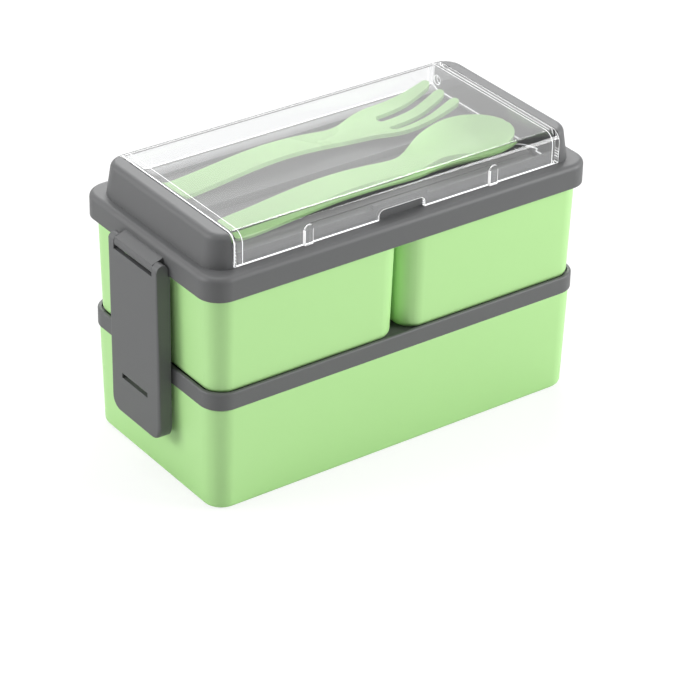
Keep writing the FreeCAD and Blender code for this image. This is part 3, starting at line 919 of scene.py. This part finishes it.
    def paint_front_reflection(self, piece: bpy.types.Object) -> None:
        """Gives the plain faces that look to the front a painted reflection: the finish with a pale glow.

        Args:
            piece: The shell.
        """
        for face in piece.data.polygons:
            if face.material_index == CoverFinish.PLAIN and face.normal.y < -self.front_facing:
                face.material_index = CoverFinish.FRONT

    def paint_highlight_line(self, piece: bpy.types.Object, end: End) -> None:
        """Sinks a thin groove into the outer walls and the top near one end, painted as a white highlight
        line.

        Args:
            piece: The shell.
            end: The end that the line follows.
        """
        low, high = self.shell_box()
        middle, half = end * (high.x - self.border_in * MM), self.border_width * MM / 2
        core = Vector((middle, (low.y + high.y) / 2, low.z))
        for side in (-half, half):
            split(piece, (middle + side, 0, 0), (1, 0, 0))

        def in_line(face: bmesh.types.BMFace) -> bool:
            """Tests a face of the split shell.

            Args:
                face: The face.

            Returns:
                Whether it is an outer face that lies in the line.
            """
            spot = face.calc_center_median()
            outward = face.normal.dot(spot - core) > 0 and face.normal.z > -self.down_facing
            return outward and abs(spot.x - middle) < half

        with edit_mode(piece):
            pick_faces(piece, in_line)
            # The line takes the painted highlight finish.
            piece.active_material_index = CoverFinish.EDGE
            bpy.ops.object.material_slot_assign()
            sink = {"value": -self.border_depth * MM}
            bpy.ops.mesh.extrude_region_shrink_fatten(TRANSFORM_OT_shrink_fatten=sink)

    def build(self, wardrobe: Wardrobe) -> list[bpy.types.Object]:
        """Makes and dresses the whole cover.

        Args:
            wardrobe: The materials.

        Returns:
            The finished piece, alone in a list.
        """
        shell = self.shell()
        combine(shell, self.notch_cutter(), Joining.CUT)
        self.trim_relief(shell)
        for end in End:
            combine(shell, self.rib(end), Joining.ADD)
            combine(shell, self.stub(end), Joining.ADD)
        dress(shell, *(wardrobe.cover[finish] for finish in CoverFinish))
        self.clean(shell)
        self.paint_edge_highlights(shell)
        self.shade_back(shell)
        self.paint_front_reflection(shell)
        for end in End:
            self.paint_highlight_line(shell, end)
        shade(shell)
        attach(shell, Body.COVER.value)
        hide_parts("cutlery_cover")
        return [shell]


# Studio
@dataclass
class PhotoCamera:
    """The camera that was fitted to the edges of the photo. Angles in degrees, lengths in metres."""

    azimuth: float = -36.136
    elevation: float = 30.469
    roll: float = 1.163
    focal_pixels: float = 2967.7
    image_pixels: float = 679.0
    sensor_mm: float = 36.0
    distance: float = 1.24923
    aim_right: float = 0.000953
    aim_up: float = -0.017419
    aim_height: float = 0.05
    nearest: float = 0.05

    def place(self) -> None:
        """Makes the camera and sets it as the scene's own."""
        turn, rise, tilt = (math.radians(value) for value in (self.azimuth, self.elevation, self.roll))
        back = Vector((math.sin(turn) * math.cos(rise), -math.cos(turn) * math.cos(rise), math.sin(rise)))
        level = Vector((math.cos(turn), math.sin(turn), 0.0))
        upright = back.cross(level)
        right = math.cos(tilt) * level + math.sin(tilt) * upright
        up = -math.sin(tilt) * level + math.cos(tilt) * upright
        target = right * self.aim_right + up * self.aim_up + Vector((0, 0, self.aim_height))
        lens = bpy.data.cameras.new("photo_camera")
        lens.sensor_width = self.sensor_mm
        lens.lens = self.focal_pixels / self.image_pixels * self.sensor_mm
        lens.clip_start = self.nearest
        holder = bpy.data.objects.new("photo_camera", lens)
        bpy.context.scene.collection.objects.link(holder)
        rows = Matrix((right, up, back)).transposed().to_4x4()
        rows.translation = target + back * self.distance
        holder.matrix_world = rows
        bpy.context.scene.camera = holder


def seen_rays(tree: bpy.types.NodeTree, through: float, mirrored: float) -> bpy.types.NodeSocket:
    """Makes a mask of the rays that should see plain white.

    Args:
        tree: The node tree.
        through: How much of the white a ray sees that has passed clear plastic.
        mirrored: How much of the white a mirrored ray sees.

    Returns:
        A socket that is 1 for camera rays, and less for the others.
    """
    path = tree.nodes.new("ShaderNodeLightPath").outputs
    # A ray that has passed clear plastic counts as glossy too.
    mirror = work_out(tree, "SUBTRACT", path["Is Glossy Ray"], path["Is Transmission Ray"])
    seen = path["Is Camera Ray"]
    for rays, share in ((path["Is Transmission Ray"], through), (mirror, mirrored)):
        seen = work_out(tree, "MAXIMUM", seen, work_out(tree, "MULTIPLY", rays, share))
    return seen


@dataclass(frozen=True)
class SoftBox:
    """One soft lamp, aimed at the middle of the lunch box."""

    name: str
    place: Triple
    size: float
    watts: float
    aim_height: float = 0.06

    def hang(self) -> None:
        """Adds the lamp."""
        lamp = bpy.data.lights.new(self.name, "AREA")
        lamp.size = self.size
        lamp.energy = self.watts
        holder = bpy.data.objects.new(self.name, lamp)
        bpy.context.scene.collection.objects.link(holder)
        holder.location = self.place
        holder.visible_transmission = False
        aim = Vector((0, 0, self.aim_height)) - Vector(self.place)
        holder.rotation_euler = aim.to_track_quat("-Z", "Y").to_euler()


@dataclass(frozen=True)
class GlareCard:
    """A glowing card, seen only as a soft glare on shiny faces, brighter to one side.

    The ramp is the share of the card's size on each side of its middle over which the glow falls.
    """

    place: Triple = (0.66, 1.06, 0.88)
    size: float = 1.1
    aim_height: float = 0.12
    glow: float = 4.1
    fall: float = 0.8
    ramp: float = 0.2

    def hang(self) -> None:
        """Adds the card."""
        deselect_all()
        aim = Vector((0, 0, self.aim_height)) - Vector(self.place)
        bpy.ops.mesh.primitive_plane_add(size=self.size, location=self.place,
                                         rotation=aim.to_track_quat("Z", "Y").to_euler())
        card = bpy.context.object
        card.name = "glare_card"
        for ray in ("camera", "diffuse", "transmission", "shadow", "volume_scatter"):
            setattr(card, f"visible_{ray}", False)
        dress(card, self.material())

    def material(self) -> bpy.types.Material:
        """Makes the card's glow.

        Returns:
            The finished material.
        """
        made, tree = new_material("glare_card")
        nodes, links = tree.nodes, tree.links
        nodes.remove(nodes["Principled BSDF"])
        place, parts = nodes.new("ShaderNodeTexCoord"), nodes.new("ShaderNodeSeparateXYZ")
        ramp, glow = nodes.new("ShaderNodeMapRange"), nodes.new("ShaderNodeEmission")
        set_inputs(ramp, {"From Min": -self.size * self.ramp, "From Max": self.size * self.ramp,
                          "To Min": self.glow, "To Max": self.glow * self.fall})
        links.new(place.outputs["Object"], parts.inputs["Vector"])
        links.new(parts.outputs["X"], ramp.inputs["Value"])
        links.new(ramp.outputs["Result"], glow.inputs["Strength"])
        links.new(glow.outputs["Emission"], nodes["Material Output"].inputs["Surface"])
        return made


@dataclass(frozen=True)
class WhiteFloor:
    """A pale floor that is white to the camera and still takes the object's shadow."""

    size: float = 12.0
    drop: float = 0.0002
    grey: float = 0.93
    roughness: float = 0.9
    white_share: float = 0.72
    glow: float = 1.12
    through: float = 0.5
    mirrored: float = 0.2

    def lay(self) -> None:
        """Adds the floor."""
        deselect_all()
        bpy.ops.mesh.primitive_plane_add(size=self.size, location=(0, 0, -self.drop))
        floor = bpy.context.object
        floor.name = "floor"
        dress(floor, self.material())

    def material(self) -> bpy.types.Material:
        """Makes the floor's finish.

        Returns:
            The finished material.
        """
        made, tree = new_material("white_sweep")
        nodes, links = tree.nodes, tree.links
        shader = nodes["Principled BSDF"]
        set_inputs(shader, {"Base Color": (self.grey, self.grey, self.grey, 1.0),
                            "Roughness": self.roughness, "Specular IOR Level": 0.0})
        glow, blend = nodes.new("ShaderNodeEmission"), nodes.new("ShaderNodeMixShader")
        path = nodes.new("ShaderNodeLightPath")
        seen = seen_rays(tree, self.through, self.mirrored)
        links.new(work_out(tree, "MULTIPLY", seen, self.white_share), blend.inputs["Fac"])
        links.new(shader.outputs["BSDF"], blend.inputs[1])
        links.new(glow.outputs["Emission"], blend.inputs[2])
        strength = work_out(tree, "MULTIPLY", path.outputs["Is Camera Ray"], self.glow)
        links.new(strength, glow.inputs["Strength"])
        links.new(blend.outputs["Shader"], nodes["Material Output"].inputs["Surface"])
        return made


@dataclass(frozen=True)
class WhiteRoom:
    """A world that lights softly and is seen white."""

    strength: float = 0.12
    through: float = 0.0
    mirrored: float = 1.0

    def light(self) -> None:
        """Makes the world and sets it as the scene's own."""
        world = bpy.data.worlds.new("white_room")
        bpy.context.scene.world = world
        world.use_nodes = True
        tree = world.node_tree
        sky, strength = tree.nodes["Background"], tree.nodes.new("ShaderNodeMapRange")
        sky.inputs["Color"].default_value = WHITE
        set_inputs(strength, {"To Min": self.strength, "To Max": 1.0})
        tree.links.new(seen_rays(tree, self.through, self.mirrored), strength.inputs["Value"])
        tree.links.new(strength.outputs["Result"], sky.inputs["Strength"])


@dataclass
class Studio:
    """A white sweep with soft lamps. Lengths in metres."""

    floor: WhiteFloor = WhiteFloor()
    card: GlareCard = GlareCard()
    room: WhiteRoom = WhiteRoom()
    lamps: tuple[SoftBox, ...] = (
        SoftBox("right_front_box", (1.35, -1.15, 0.75), 0.9, 29.5),
        SoftBox("left_box", (-1.45, 0.65, 0.75), 0.8, 17.0),
        SoftBox("over_box", (0.1, 0.5, 1.7), 1.3, 16.0),
        SoftBox("edge_box", (0.61, 0.62, 0.94), 0.28, 2.6),
    )

    def build(self) -> None:
        """Makes the floor, the glare card, the world and the lamps."""
        self.floor.lay()
        self.card.hang()
        self.room.light()
        for lamp in self.lamps:
            lamp.hang()
        bpy.context.scene.view_settings.view_transform = "Standard"


def main() -> None:
    """Builds and dresses the lunch box, then the studio and the camera."""
    logging.basicConfig(level=logging.INFO)
    wardrobe = Wardrobe()
    wardrobe.fill()
    for part in (LowerTier(), MiddleLid(), UpperTier(), TopLid(), LatchPair(), CutlerySet(), ClearCover()):
        for piece in part.build(wardrobe):
            LOG.info("%s: %d faces", piece.name, len(piece.data.polygons))
    Studio().build()
    PhotoCamera().place()


if __name__ == "__main__":
    main()
